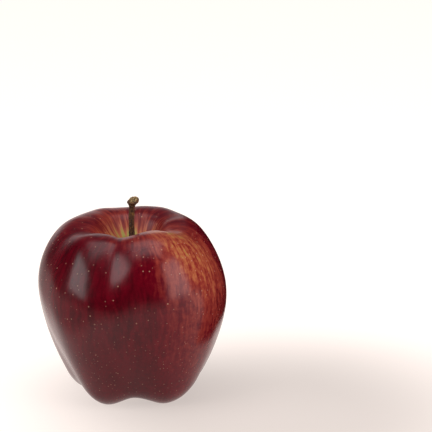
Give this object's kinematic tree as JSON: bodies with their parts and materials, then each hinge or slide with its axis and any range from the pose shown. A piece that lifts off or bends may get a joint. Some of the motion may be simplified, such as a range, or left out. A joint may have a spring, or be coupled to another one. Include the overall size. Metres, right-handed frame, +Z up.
{
  "type": "apple",
  "caption": "Tall red apple with a tapered lobed body, a deep stem cavity with a woody stem, and a calyx basin with dry sepals; it stands on its lobed crown.",
  "frame": {"origin": "under the middle of the fruit, on the plane that its feet stand on", "axes": "+Z up along the core towards the stem, -Y the front that the picture shows, +X to the right of it"},
  "size_m": [0.0726, 0.0734, 0.078],
  "materials": {
    "skin": "gloss",
    "stem_bark": "matte",
    "dry_sepal": "matte",
    "dry_stamen": "matte"
  },
  "bodies": {
    "root": {"fruit": "skin", "stem": "stem_bark", "sepal_1": "dry_sepal", "sepal_2": "dry_sepal", "sepal_3": "dry_sepal", "sepal_4": "dry_sepal", "sepal_5": "dry_sepal", "stamen_tuft": "dry_stamen"}
  },
  "joints": []
}
